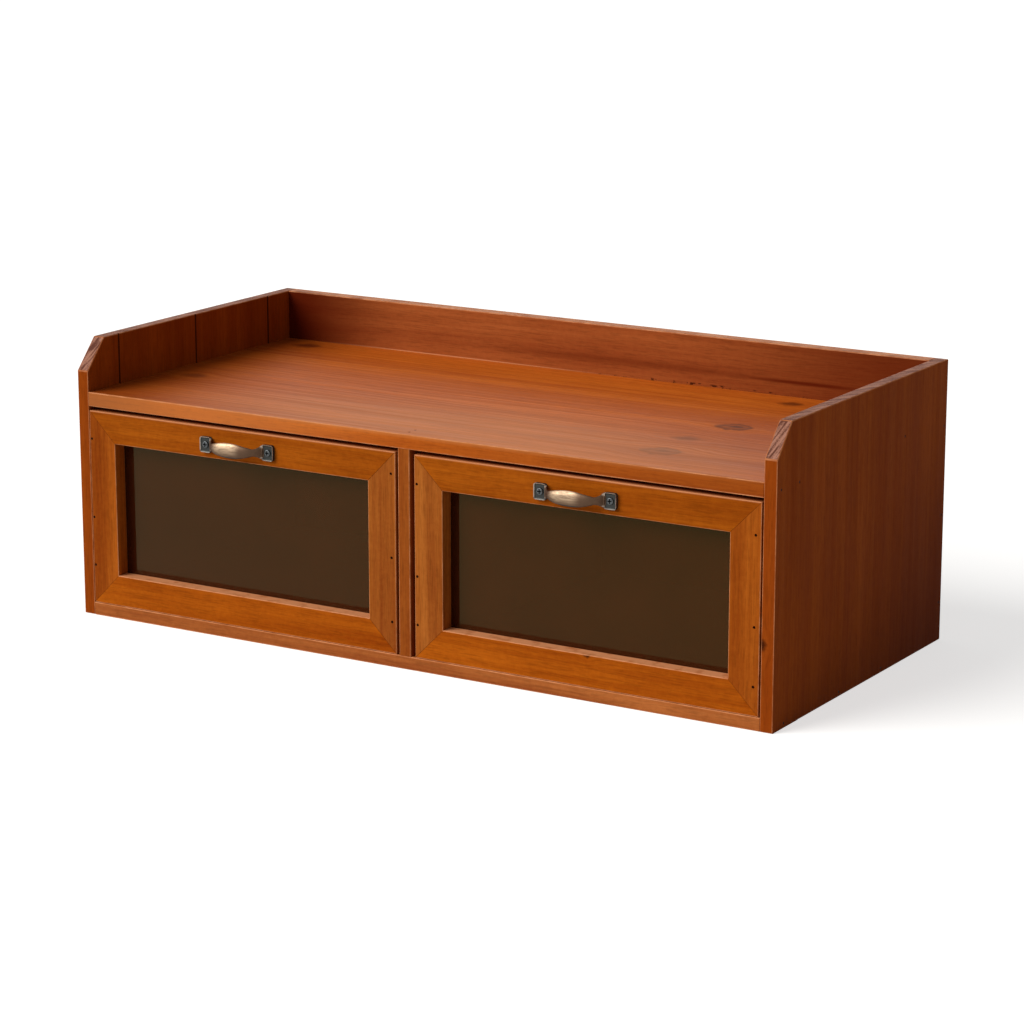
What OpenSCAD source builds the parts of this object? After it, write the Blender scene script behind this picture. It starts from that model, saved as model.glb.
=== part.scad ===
// Tabletop cabinet of nailed boards with a railed top and two glazed drawers.
// Origin: middle of the footprint, on the surface it stands on. The drawers face -Y.

/* [Carcass] */
// Overall width across the two side panels
body_w = 600; // [460:1:800]
// Overall depth of the boards, without the handles
body_d = 278; // [220:1:400]
// Clear height of the two drawer bays
bay_h = 155.5; // [120:0.5:240]
// Thickness of the side, bottom and divider boards
board_t = 10; // [8:0.5:16]
// Thickness of the deck
deck_t = 11; // [8:0.5:16]
// Thickness of the back board
back_t = 12; // [8:0.5:18]
// Rise of the back and the sides above the deck
rail_rise = 39.5; // [22:0.5:80]
// Rise of the sides above the deck at their front edge
lip_rise = 16; // [6:1:20]
// Run of the sloped corner of each side
corner_run = 21; // [8:1:34]
// Distance of the divider from the middle, towards the left
divider_shift = 1.3; // [0:0.1:8]

/* [Side panels] */
// Width of the front board of each glued-up side panel
front_stave_w = 39; // [36:1:60]
// Width of the rear board of each glued-up side panel
rear_stave_w = 42; // [20:1:60]
// Width of the chamfer along each glued joint, on the inner face
joint_v = 1; // [0.2:0.1:1.5]

/* [Drawer fronts] */
// Width of the mitred frame members
frame_w = 24; // [18:0.5:34]
// Thickness of the mitred frame
frame_t = 16; // [15:0.5:22]
// Depth of the glass behind the face of the frame
glass_in = 11.5; // [8:0.1:11.5]
// Thickness of the glass
glass_t = 2; // [1.5:0.1:2.2]
// Width of the rebate that holds the glass
rebate_w = 6; // [4:0.5:8]
// Gap between the glass and the walls of its rebate
glass_play = 0.5; // [0.2:0.1:1]
// Gap between the top of a drawer front and the deck
top_gap = 3.2; // [1:0.1:6]
// Side play of a drawer in the narrower bay
side_play = 2.7; // [1.6:0.1:6]
// Gap between the left drawer and the left side panel
left_outer_gap = 0.4; // [0.3:0.1:1.3]
// Gap between the right drawer and the right side panel
right_outer_gap = 1.2; // [0.3:0.1:1.3]

/* [Drawer boxes] */
// Thickness of the drawer sides and back
box_t = 9; // [7:0.5:12]
// Drop of the drawer sides and back below the top of the front
box_drop = 4; // [0:0.5:12]
// Thickness of the drawer bottom
panel_t = 3; // [2:0.5:5]
// Height of the drawer bottom above the lower edge of the box
panel_lift = 5; // [3:0.5:8]
// Depth of the grooves that hold the drawer bottom
groove_d = 4; // [2:0.5:5]
// Gap between the drawer bottom and the walls of its grooves
panel_play = 0.1; // [0.05:0.05:0.4]
// Running gap under each drawer and behind it
run_gap = 0.3; // [0.2:0.1:1]

/* [Handles] */
// Distance between the two screws of a handle
handle_pitch = 57; // [44:1:90]
// Width of a handle's end plates
plate_w = 10; // [9:0.5:16]
// Height of a handle's end plates
plate_h = 12; // [9:0.5:17]
// Thickness of the end plates at their rim
plate_t = 3; // [2.5:0.1:4]
// Width of the rim round the sunk field of an end plate
rim_w = 1.2; // [0.8:0.1:2]
// Depth of the sunk field
field_d = 1.2; // [0.6:0.1:1.6]
// How far the grip stands out of the drawer front
grip_out = 13; // [9:0.5:25]
// Thickness of the grip at its middle
grip_t = 4; // [3.2:0.1:6]
// Height of the grip at its middle
belly_h = 11.5; // [7:0.5:16]
// Height of the necks beside the grip
neck_h = 5; // [4:0.5:10]
// Length of the flare between a neck and its end plate
flare_l = 5.5; // [2:0.5:10]
// Drop of the handles below the middle line of the top rails
handle_drop = 1.5; // [0:0.1:3]
// Offset of the left handle from the middle of its drawer
left_handle_shift = 0; // [-10:0.5:10]
// Offset of the right handle from the middle of its drawer
right_handle_shift = -5; // [-10:0.5:10]

/* [Fixings] */
// Radius of a nail
nail_r = 0.6; // [0.4:0.1:0.9]
// Length of a nail
nail_l = 25; // [22:1:30]
// Radius of a nail's head
nail_head_r = 1; // [0.8:0.1:1.3]
// Thickness of a nail's head
nail_head_t = 0.6; // [0.4:0.1:1]
// Depth of a nail's head below the face
nail_sink = 0.2; // [0.1:0.1:0.6]
// Length of a glazing pin
pin_l = 13; // [12:0.5:15]
// How far a glazing pin shows inside the edge of the frame
pin_show = 2.5; // [1:0.5:4]
// Distance of the glazing pins from the ends of the sight opening
pin_drop = 14; // [6:1:24]
// Radius of a handle screw
screw_r = 1.3; // [1:0.1:1.8]
// Length of a handle screw below the face of the front
screw_l = 11; // [8:0.5:11]
// Radius of a handle screw's head
screw_head_r = 2.6; // [1.8:0.1:3]
// Height of a handle screw's head
screw_head_t = 1.2; // [0.8:0.1:2]
// Length of the cross slot in a handle screw
slot_l = 3.4; // [2:0.1:3.4]
// Width of the cross slot
slot_w = 0.9; // [0.4:0.1:1]
// Depth of the cross slot
slot_d = 0.8; // [0.3:0.1:0.8]
// Gap between every nail, pin or screw and its hole
hole_play = 0.05; // [0.02:0.01:0.1]

/* [Nail places] */
// Distance of the nails from the outer edges of the four stiles, left to right
stile_nail_in = [1.7, 3.8, 2.1, 4.3]; // [1.6:0.1:5]
// Heights of the lowest nails above the lower edge of a drawer, stile by stile
low_nail_h = [30, 24, 25, 21]; // [20:0.5:34]
// Heights of the middle nails above the lower edge of a drawer, stile by stile
mid_nail_h = [68, 72.5, 61.5, 63.5]; // [50:0.5:75]
// Distances of the highest nails below the top of a drawer, stile by stile
high_nail_drop = [22, 16.5, 21.5, 23.5]; // [15:0.5:30]
// Heights of the nails at the back of a drawer box above its lower edge
box_nail_h = [24, 65]; // [20:0.5:75]
// Distance of the highest of those nails below the top of the box
box_nail_drop = 22; // [15:0.5:30]
// Distances of the deck's two front nails from the front edge of a side
deck_nail_front = [6.5, 34]; // [5:0.5:60]
// Distance of the deck's rear nail from the back edge of a side
deck_nail_rear = 73; // [40:1:90]
// Distances of the bottom board's two front nails from the front edge of a side
bottom_nail_front = [17, 104]; // [5:1:105]
// Distance of the bottom board's rear nail from the back edge of a side
bottom_nail_rear = 104; // [60:1:110]
// Height of the bottom board's nails above its lower face
bottom_nail_h = 3.5; // [2:0.5:7]
// Heights of the nails that hold the back board's ends
back_nail_h = [30, 98, 166]; // [20:1:170]
// Distance of those nails from the back edge of a side
back_nail_in = 4; // [2:0.5:6]
// Distances of the divider's nails from its front edge
divider_nail_in = [8, 16]; // [5:1:30]
// Distance of the divider's rear nail from its back edge
divider_nail_rear = 30; // [20:1:60]
// Distance of the outer nails of the back board from its ends
back_row_in = 60; // [30:1:100]

/* [Hidden] */
LEFT = -1;
RIGHT = 1;
$fn = 32;
// Overshoot of the cuts
over = 1;

// Planes of the carcass
y_front = -body_d / 2;
y_back = body_d / 2;
y_bay = y_back - back_t;
z_bay = board_t;
z_deck = board_t + bay_h;
deck_top = z_deck + deck_t;
body_h = deck_top + rail_rise;
bay_d = y_bay - y_front;
inner_w = body_w - 2 * board_t;

// Joints between the boards of a side panel, from the front edge back
mid_stave_w = (body_d - front_stave_w - rear_stave_w) / 2;
stave_cut = [0, front_stave_w, front_stave_w + mid_stave_w, body_d - rear_stave_w, body_d];

// Sizes and places of the drawers
left_bay_w = inner_w / 2 - divider_shift - board_t / 2;
right_bay_w = inner_w / 2 + divider_shift - board_t / 2;
front_w = min(left_bay_w, right_bay_w) - side_play;
front_h = bay_h - run_gap - top_gap;
left_x = -inner_w / 2 + left_outer_gap + front_w / 2;
right_x = inner_w / 2 - right_outer_gap - front_w / 2;
box_h = front_h - box_drop;
box_l = bay_d - frame_t - run_gap;
pocket_w = front_w - 2 * (frame_w - rebate_w);
pocket_h = front_h - 2 * (frame_w - rebate_w);

// Glazing pins: behind the glass, level with the ends of the sight opening
pin_y = glass_in + glass_t + nail_head_r + hole_play;
pin_tip = frame_w + pin_show;
pin_rows = [frame_w + pin_drop, front_h - frame_w - pin_drop];

// Handle: half the clear span between the end plates, the steps along each of the grip's
// curves, and the powers of the curves that its arch and its leaf shaped outline follow
half_span = (handle_pitch - plate_w) / 2;
curve_n = 24;
arch_power = 4.5;
leaf_power = 1.2;

wood = "#9c5220";
wood_light = "#ad6128";
wood_dark = "#6b3215";
steel = "#8b8a86";
bronze = "#7a6a50";
glass_tint = [0.3, 0.22, 0.15, 0.45];

// A nail that enters a face at z = 0, pointing down
module nail(length = nail_l) {
  translate([0, 0, -nail_sink - nail_head_t])
    cylinder(h = nail_head_t, r = nail_head_r);
  translate([0, 0, -length])
    cylinder(h = length - nail_sink - nail_head_t / 2, r = nail_r);
}

module nail_hole(length = nail_l) {
  translate([0, 0, -nail_sink - nail_head_t])
    cylinder(h = nail_sink + nail_head_t + over, r = nail_head_r + hole_play);
  translate([0, 0, -length])
    cylinder(h = length, r = nail_r + hole_play);
}

// Places of the carcass nails, each with its face at z = 0
module at_side_nails() {
  deck_y = [y_front + deck_nail_front[0], y_front + deck_nail_front[1], y_back - deck_nail_rear];
  bottom_y = [y_front + bottom_nail_front[0], y_front + bottom_nail_front[1], y_back - bottom_nail_rear];
  for (s = [0, 1], y = deck_y)
    mirror([s, 0, 0]) translate([body_w / 2, y, z_deck + deck_t / 2]) rotate([0, 90, 0]) children();
  for (s = [0, 1], y = bottom_y)
    mirror([s, 0, 0]) translate([body_w / 2, y, bottom_nail_h]) rotate([0, 90, 0]) children();
  for (s = [0, 1], z = back_nail_h)
    mirror([s, 0, 0]) translate([body_w / 2, y_back - back_nail_in, z]) rotate([0, 90, 0]) children();
}

module at_divider_nails() {
  for (y = divider_nail_in)
    translate([-divider_shift, y_front + y, deck_top]) children();
  for (y = [y_front + divider_nail_in[0], y_bay - divider_nail_rear])
    translate([-divider_shift, y, 0]) rotate([180, 0, 0]) children();
}

module at_back_nails() {
  for (x = [-body_w / 2 + back_row_in, 0, body_w / 2 - back_row_in], z = [board_t / 2, z_deck + deck_t / 2])
    translate([x, y_back, z]) rotate([-90, 0, 0]) children();
}

// Outline of a side panel, seen from the side
module side_outline() {
  polygon([
    [y_front, 0],
    [y_back, 0],
    [y_back, body_h],
    [y_front + corner_run, body_h],
    [y_front, deck_top + lip_rise]
  ]);
}

// Section of one board of the right side panel: chamfered along its joints, on the inner face
module stave_section(i) {
  x0 = body_w / 2 - board_t;
  x1 = body_w / 2;
  y0 = y_front + stave_cut[i];
  y1 = y_front + stave_cut[i + 1];
  v0 = i == 0 ? 0 : joint_v;
  v1 = i == 3 ? 0 : joint_v;
  polygon([[x0, y0 + v0], [x0 + v0, y0], [x1, y0], [x1, y1], [x0 + v1, y1], [x0, y1 - v1]]);
}

module side_board(side, i) {
  color(wood)
    difference() {
      mirror([side == LEFT ? 1 : 0, 0, 0])
        intersection() {
          linear_extrude(body_h) stave_section(i);
          translate([body_w / 2 - board_t - over, 0, 0])
            rotate([90, 0, 90]) linear_extrude(board_t + 2 * over) side_outline();
        }
      at_side_nails() nail_hole();
    }
}

module deck() {
  color(wood_light)
    difference() {
      translate([-inner_w / 2, y_front, z_deck]) cube([inner_w, bay_d, deck_t]);
      at_side_nails() nail_hole();
      at_divider_nails() nail_hole();
      at_back_nails() nail_hole();
    }
}

module bottom_board() {
  color(wood)
    difference() {
      translate([-inner_w / 2, y_front, 0]) cube([inner_w, bay_d, board_t]);
      at_side_nails() nail_hole();
      at_divider_nails() nail_hole();
      at_back_nails() nail_hole();
    }
}

module divider() {
  color(wood)
    difference() {
      translate([-divider_shift - board_t / 2, y_front, z_bay]) cube([board_t, bay_d, bay_h]);
      at_divider_nails() nail_hole();
    }
}

module back_board() {
  color(wood_dark)
    difference() {
      translate([-inner_w / 2, y_bay, 0]) cube([inner_w, back_t, body_h]);
      at_side_nails() nail_hole();
      at_back_nails() nail_hole();
    }
}

module side_nails() {
  color(steel) at_side_nails() nail();
}

module divider_nails() {
  color(steel) at_divider_nails() nail();
}

module back_nails() {
  color(steel) at_back_nails() nail();
}

// Moves a drawer from its own frame to its bay. In its own frame a drawer is centred on x,
// its front face is the plane y = 0 and its lower edge is at z = 0.
module in_bay(side) {
  translate([side == LEFT ? left_x : right_x, y_front, z_bay + run_gap]) children();
}

// Number of a stile, counted from the left, by its drawer and whether it is the outer one
function stile_index(side, outer) = side == LEFT ? (outer ? 0 : 1) : (outer ? 3 : 2);

// The outer stile of a drawer lies on the drawer's own side; the inner one lies the other way
module at_front_nails(side) {
  for (outer = [true, false]) {
    i = stile_index(side, outer);
    way = outer ? side : -side;
    for (z = [low_nail_h[i], mid_nail_h[i], front_h - high_nail_drop[i]])
      translate([way * (front_w / 2 - stile_nail_in[i]), 0, z]) rotate([90, 0, 0]) children();
  }
}

module at_box_nails() {
  for (s = [0, 1], z = [box_nail_h[0], box_nail_h[1], box_h - box_nail_drop])
    mirror([s, 0, 0])
      translate([front_w / 2, frame_t + box_l - box_t / 2, z]) rotate([0, 90, 0]) children();
}

module at_pins() {
  for (s = [0, 1], z = pin_rows)
    mirror([s, 0, 0]) translate([front_w / 2 - pin_tip, pin_y, z]) rotate([0, -90, 0]) children();
}

module at_handle(side) {
  shift = side == LEFT ? left_handle_shift : right_handle_shift;
  translate([shift, 0, front_h - frame_w / 2 - handle_drop]) children();
}

module at_screws() {
  for (x = [-handle_pitch / 2, handle_pitch / 2])
    translate([x, 0, 0]) rotate([90, 0, 0]) children();
}

// Hollow behind the sight opening that takes the glass
module glass_pocket() {
  translate([-pocket_w / 2, glass_in, frame_w - rebate_w])
    cube([pocket_w, frame_t - glass_in + over, pocket_h]);
}

// Space of the drawer bottom with its play, let into the front, the sides and the back
module bottom_space(play) {
  w = front_w - 2 * (box_t - groove_d);
  l = box_l - box_t + 2 * groove_d;
  translate([-w / 2, frame_t - groove_d, panel_lift] - [play, play, play])
    cube([w, l, panel_t] + 2 * [play, play, play]);
}

// Outline of a frame member of a given length: mitred ends, sight edge at the top
module mitred(length) {
  polygon([
    [-length / 2, 0],
    [length / 2, 0],
    [length / 2 - frame_w, frame_w],
    [-length / 2 + frame_w, frame_w]
  ]);
}

module frame_cuts(side) {
  glass_pocket();
  bottom_space(panel_play);
  at_front_nails(side) nail_hole();
  at_pins() nail_hole(pin_l);
  at_handle(side) at_screws()
    translate([0, 0, -screw_l]) cylinder(h = screw_l + over, r = screw_r + hole_play);
}

module top_rail(side) {
  color(wood_light)
    in_bay(side) difference() {
      translate([0, frame_t, front_h]) rotate([90, 0, 0]) mirror([0, 1, 0])
        linear_extrude(frame_t) mitred(front_w);
      frame_cuts(side);
    }
}

module bottom_rail(side) {
  color(wood_light)
    in_bay(side) difference() {
      translate([0, frame_t, 0]) rotate([90, 0, 0])
        linear_extrude(frame_t) mitred(front_w);
      frame_cuts(side);
    }
}

// A stile stands on the side of the drawer given by way
module stile(side, way) {
  color(wood_light)
    in_bay(side) difference() {
      mirror([way == LEFT ? 1 : 0, 0, 0])
        translate([front_w / 2, frame_t, front_h / 2]) rotate([90, 0, 0]) rotate([0, 0, 90])
          linear_extrude(frame_t) mitred(front_h);
      frame_cuts(side);
    }
}

module glass(side) {
  color(glass_tint)
    in_bay(side)
      translate([-pocket_w / 2 + glass_play, glass_in, frame_w - rebate_w + glass_play])
        cube([pocket_w - 2 * glass_play, glass_t, pocket_h - 2 * glass_play]);
}

module glazing_pins(side) {
  color(steel) in_bay(side) at_pins() nail(pin_l);
}

module box_side(side, way) {
  color(wood)
    in_bay(side) difference() {
      mirror([way == LEFT ? 1 : 0, 0, 0])
        translate([front_w / 2 - box_t, frame_t, 0]) cube([box_t, box_l, box_h]);
      bottom_space(panel_play);
      at_front_nails(side) nail_hole();
      at_box_nails() nail_hole();
    }
}

module box_back(side) {
  color(wood)
    in_bay(side) difference() {
      translate([-front_w / 2 + box_t, frame_t + box_l - box_t, 0])
        cube([front_w - 2 * box_t, box_t, box_h]);
      bottom_space(panel_play);
      at_box_nails() nail_hole();
    }
}

module box_bottom(side) {
  color(wood_light) in_bay(side) bottom_space(0);
}

module front_nails(side) {
  color(steel) in_bay(side) at_front_nails(side) nail();
}

module box_nails(side) {
  color(steel) in_bay(side) at_box_nails() nail();
}

// Distance of the grip's outer face from the drawer front, and the grip's thickness and half
// height, each at a distance x from the middle of the handle
function grip_face(x) = plate_t + (grip_out - plate_t) * (1 - pow(abs(x) / half_span, arch_power));
function grip_thick(x) = plate_t + (grip_t - plate_t) * (1 - pow(x / half_span, 2));
function grip_half(x) =
  abs(x) < half_span - flare_l
    ? (neck_h + (belly_h - neck_h) * pow(cos(90 * x / (half_span - flare_l)), leaf_power)) / 2
    : (neck_h + (plate_h - neck_h) * pow((abs(x) - half_span + flare_l) / flare_l, 2)) / 2;

// Steps along the grip, closer together in its legs
grip_x = [for (i = [0:curve_n]) half_span * sin(90 * (2 * i / curve_n - 1))];

// The grip as the solid common to its side profile and its front outline
module grip() {
  intersection() {
    translate([0, 0, -plate_h])
      linear_extrude(2 * plate_h)
        polygon(concat(
          [for (x = grip_x) [x, -grip_face(x)]],
          [for (i = [curve_n:-1:0]) [grip_x[i], grip_thick(grip_x[i]) - grip_face(grip_x[i])]]
        ));
    rotate([90, 0, 0])
      linear_extrude(grip_out + over)
        polygon(concat(
          [for (x = grip_x) [x, -grip_half(x)]],
          [for (i = [curve_n:-1:0]) [grip_x[i], grip_half(grip_x[i])]]
        ));
  }
}

module end_plate() {
  difference() {
    translate([-plate_w / 2, -plate_h / 2, 0]) cube([plate_w, plate_h, plate_t]);
    translate([-plate_w / 2 + rim_w, -plate_h / 2 + rim_w, plate_t - field_d])
      cube([plate_w - 2 * rim_w, plate_h - 2 * rim_w, field_d + over]);
    translate([0, 0, -over]) cylinder(h = plate_t + 2 * over, r = screw_r + hole_play);
  }
}

module handle(side) {
  color(bronze)
    in_bay(side) at_handle(side) {
      grip();
      at_screws() end_plate();
    }
}

module screw() {
  difference() {
    union() {
      translate([0, 0, plate_t - field_d]) cylinder(h = screw_head_t, r = screw_head_r);
      translate([0, 0, -screw_l]) cylinder(h = screw_l + plate_t - field_d + screw_head_t / 2, r = screw_r);
    }
    for (a = [0, 90])
      rotate([0, 0, a])
        translate([-slot_l / 2, -slot_w / 2, plate_t - field_d + screw_head_t - slot_d])
          cube([slot_l, slot_w, slot_d + over]);
  }
}

module handle_screws(side) {
  color(steel) in_bay(side) at_handle(side) at_screws() screw();
}

side_board(LEFT, 0);  // left_side_board_1
side_board(LEFT, 1);  // left_side_board_2
side_board(LEFT, 2);  // left_side_board_3
side_board(LEFT, 3);  // left_side_board_4
side_board(RIGHT, 0);  // right_side_board_1
side_board(RIGHT, 1);  // right_side_board_2
side_board(RIGHT, 2);  // right_side_board_3
side_board(RIGHT, 3);  // right_side_board_4
deck();
bottom_board();
divider();
back_board();
side_nails();
divider_nails();
back_nails();
top_rail(LEFT);  // left_top_rail
bottom_rail(LEFT);  // left_bottom_rail
stile(LEFT, LEFT);  // left_outer_stile
stile(LEFT, RIGHT);  // left_inner_stile
glass(LEFT);  // left_glass
glazing_pins(LEFT);  // left_glazing_pins
box_side(LEFT, LEFT);  // left_outer_box_side
box_side(LEFT, RIGHT);  // left_inner_box_side
box_back(LEFT);  // left_box_back
box_bottom(LEFT);  // left_box_bottom
front_nails(LEFT);  // left_front_nails
box_nails(LEFT);  // left_box_nails
handle(LEFT);  // left_handle
handle_screws(LEFT);  // left_handle_screws
top_rail(RIGHT);  // right_top_rail
bottom_rail(RIGHT);  // right_bottom_rail
stile(RIGHT, RIGHT);  // right_outer_stile
stile(RIGHT, LEFT);  // right_inner_stile
glass(RIGHT);  // right_glass
glazing_pins(RIGHT);  // right_glazing_pins
box_side(RIGHT, RIGHT);  // right_outer_box_side
box_side(RIGHT, LEFT);  // right_inner_box_side
box_back(RIGHT);  // right_box_back
box_bottom(RIGHT);  // right_box_bottom
front_nails(RIGHT);  // right_front_nails
box_nails(RIGHT);  // right_box_nails
handle(RIGHT);  // right_handle
handle_screws(RIGHT);  // right_handle_screws
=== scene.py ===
"""Looks of a tabletop cabinet of stained boards with two glazed drawers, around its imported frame."""

import math

import bmesh
import bpy
from bpy.props import FloatProperty, FloatVectorProperty, PointerProperty
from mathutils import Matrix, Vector


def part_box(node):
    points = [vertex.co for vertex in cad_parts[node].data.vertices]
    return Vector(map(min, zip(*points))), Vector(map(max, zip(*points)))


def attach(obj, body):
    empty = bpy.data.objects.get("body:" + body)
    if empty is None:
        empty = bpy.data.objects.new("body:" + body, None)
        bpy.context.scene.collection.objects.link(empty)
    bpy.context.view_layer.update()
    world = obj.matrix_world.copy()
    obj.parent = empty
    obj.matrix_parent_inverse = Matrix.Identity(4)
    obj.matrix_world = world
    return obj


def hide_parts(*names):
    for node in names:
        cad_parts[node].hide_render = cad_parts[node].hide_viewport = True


bl_info = {
    "name": "Glazed Drawer Cabinet",
    "version": (1, 0, 0),
    "blender": (4, 5, 0),
    "location": "3D View > Sidebar > Cabinet",
    "description": "Boards, drawer fronts, panes, pulls and fixings of a tabletop cabinet",
    "category": "Object",
}

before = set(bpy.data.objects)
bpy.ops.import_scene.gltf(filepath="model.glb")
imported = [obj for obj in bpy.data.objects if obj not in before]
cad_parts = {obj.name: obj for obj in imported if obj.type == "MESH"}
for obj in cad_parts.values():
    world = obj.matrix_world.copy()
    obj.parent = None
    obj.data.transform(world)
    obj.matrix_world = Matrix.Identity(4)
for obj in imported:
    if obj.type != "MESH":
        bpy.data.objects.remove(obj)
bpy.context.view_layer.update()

MM = 0.001
SIDES = ("left", "right")
# Corners closer than this are one corner, and faces that turn less than this are one face
MERGE_GAP = 0.002 * MM
FLAT_TURN = math.radians(0.5)
# An arris turns more than this and is longer than this, which leaves out nail holes
ARRIS_TURN = math.radians(28)
ARRIS_SHORTEST = 2 * MM
# How far a corner may lie off a plane and still be in it
PLANE_SLACK = 0.02 * MM
# A smaller face belongs to a hole, and keeps the wood it has
SMALLEST_FACE = 4 * MM * MM
# The places of a board's four woods in its material slots
FACE, RUBBED_AND_SHEEN, END, JOINT = range(4)
# Sections in a grip, how far it laps into its plates and how much lower it ends than they are
GRIP_STEPS = 36
GRIP_LAP = 0.8 * MM
FLARE_STEP = 0.6 * MM
# Rounding of a plate's rims
RIM_ROUND = 0.35 * MM
# Turns that lay the grain of a board along the pattern's X axis
GRAIN_TURN = {
    "across": (0, 0, 0),
    "upright": (0, math.radians(90), 0),
    "deep": (0, 0, math.radians(-90)),
}


def linear(code):
    """The linear colour of an sRGB hex code."""
    parts = [int(code[i : i + 2], 16) / 255 for i in (1, 3, 5)]
    return tuple(c / 12.92 if c <= 0.04045 else ((c + 0.055) / 1.055) ** 2.4 for c in parts)


def colour(name, description, code):
    """A colour property with its default."""
    return FloatVectorProperty(
        name=name, description=description, default=linear(code), subtype="COLOR", size=3, min=0, max=1
    )


def length(name, description, millimetres):
    """A length property with its default."""
    return FloatProperty(
        name=name,
        description=description,
        default=millimetres * MM,
        min=0,
        subtype="DISTANCE",
        unit="LENGTH",
    )


def angle(name, description, degrees):
    """An angle property with its default."""
    return FloatProperty(
        name=name, description=description, default=math.radians(degrees), subtype="ANGLE"
    )


def level(name, description, value):
    """A plain number with its default."""
    return FloatProperty(name=name, description=description, default=value, min=0)


class CabinetEdges(bpy.types.PropertyGroup):
    """How far the arrises of the boards are rubbed down."""

    front_arris: length("Front arris", "Softening of the mitred frames", 0.55)
    board_arris: length("Board arris", "Softening of the carcass boards", 0.7)
    seam: length("Seam", "Fine groove where two boards butt", 0.25)
    box_arris: length("Box arris", "Softening of the drawer boxes", 0.5)
    mitre: length("Mitre", "Fine groove along the mitres", 0.2)
    screw_dome: length("Screw dome", "Rounding of the screw heads", 0.6)


class CabinetPull(bpy.types.PropertyGroup):
    """Sizes of a cast bow pull."""

    plate_width: length("Plate width", "Width of an end plate", 10)
    plate_thick: length("Plate thickness", "Thickness of an end plate at its rim", 3)
    plate_corner: length("Plate corner", "Radius of the plate's corners", 1.7)
    rim: length("Rim", "Width of the raised rim", 1.2)
    sunk: length("Sunk field", "Depth of the field inside the rim", 1.2)
    grip_thick: length("Grip thickness", "Thickness of the grip at its middle", 4)
    belly: length("Belly", "Height of the grip at its middle", 11.5)
    neck: length("Neck", "Height of the grip beside its plates", 5.4)
    flare: length("Flare", "Length of the flare into a plate", 4.8)
    screw_hole: length("Screw hole", "Radius of the hole for a screw", 1.35)


class CabinetFinish(bpy.types.PropertyGroup):
    """Colours of the stain, the glass and the metal."""

    top_rail: colour("Top rails", "Upper rails of the drawer fronts", "#9B4A0B")
    bottom_rail: colour("Bottom rails", "Lower rails of the drawer fronts", "#AA520D")
    outer_stile: colour("Outer stiles", "Stiles next to the side panels", "#9D4C12")
    inner_stile: colour("Inner stiles", "Stiles next to the divider", "#A2571F")
    deck: colour("Deck", "Stained deck", "#BF5D19")
    bottom: colour("Bottom board", "Stained bottom board", "#A95E2D")
    divider: colour("Divider", "Stained divider", "#9A4E1A")
    side: colour("Sides", "Stained side panels", "#95420F")
    back: colour("Back", "Stained back board", "#A25428")
    box: colour("Boxes", "Stained wood of the drawer boxes", "#85502A")
    # Also painted light: a painted highlight on the bottom rails' sills and along the corner above the
    # deck, painted sheen on the back board's upper face, and painted light over the shade below the deck on
    # the top rails
    rubbed: colour("Rubbed arris", "Bare wood where an arris is rubbed", "#D68E60")
    # Painted sheen: the pale front of the deck's upper face and the light left end of its front edge
    thin: colour("Thin stain", "Golden wood where the stain is thin", "#DC9154")
    # Also painted shade: the ends of the deck and of the back board, the right of the deck's front edge and
    # the lower rear corner of the right side
    pooled: colour("Pooled stain", "Deep red where stain lies thick", "#561404")
    end_dark: colour("End grain dark", "Rings in the end grain", "#63382A")
    end_light: colour("End grain light", "Wood between the rings", "#AB7761")
    knot: colour("Knot", "Heart of a knot", "#3B1608")
    lacquer: colour("Lacquer", "Warm tint of the lacquer's shine", "#FFD2AE")
    glass: colour("Glass", "Brown body of the panes", "#6F3419")
    glass_gloss: colour("Glass gloss", "Tint of the gloss of the panes", "#979051")
    # Also painted shade low down on the pulls
    bronze_patina_and_shade: colour("Bronze field", "Patina in the sunk fields and low down", "#3B3C3A")
    bronze_neck: colour("Bronze neck", "Patina on the necks and round the belly", "#5A4536")
    bronze_rim: colour("Bronze rim", "Rubbed rims of the plates", "#A9988A")
    # Also a painted highlight on the upper left of the belly
    bronze_rub_and_highlight: colour("Bronze belly", "Rubbed belly of the grip", "#B49A7E")
    steel: colour("Screw steel", "Blackened steel of the screws", "#5C5F60")
    nail: colour("Nail steel", "Stained heads of the nails", "#200D05")
    wire: colour("Pin wire", "Bright wire of the glazing pins", "#C8C2B4")


class CabinetStudio(bpy.types.PropertyGroup):
    """The camera, the lamp, the surround and the floor."""

    azimuth: angle("Azimuth", "Camera's angle from the front, to the right", 31.467)
    elevation: angle("Elevation", "Camera's angle above the floor", 13.696)
    distance: length("Distance", "Camera to the point it looks at", 2454.6)
    aim_across: length("Aim across", "Point looked at, to the right of the middle", 5.5)
    aim_height: length("Aim height", "Height of the point looked at", 90.65)
    lens: level("Lens", "Focal length in millimetres", 113.3)
    key: level("Key", "Level of the front left lamp", 0.94)
    lamp_spread: angle("Lamp spread", "Angle that the lamp fills", 45)
    ambient: level("Ambient", "Level of the soft light all round", 0.2)
    floor_tone: colour("Floor", "Plain pale floor", "#D9D7D3")
    floor_lift: level("Floor lift", "Glow that brings the floor in view up to white", 0.62)


def finish_colours():
    """The scene's colours of the stain, the glass and the metal."""
    return bpy.context.scene.cabinet_finish


def tones(middle, spread):
    """Redder late wood, the stained wood between and yellower early wood, from the tone in the middle."""
    dark = tuple(part * (1 - spread * more) for part, more in zip(middle, (0.8, 1.2, 1.2)))
    light = tuple(part * (1 + spread * more) for part, more in zip(middle, (1, 1.5, 1.9)))
    return dark, tuple(middle), light


def feed(tree, socket, value):
    """Sets a socket to a value or a colour, or links it to a node's result."""
    if isinstance(value, bpy.types.Node):
        value = next(result for result in value.outputs if result.enabled)
    if isinstance(value, bpy.types.NodeSocket):
        tree.links.new(value, socket)
    else:
        socket.default_value = (*value, 1) if socket.type == "RGBA" else value


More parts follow.
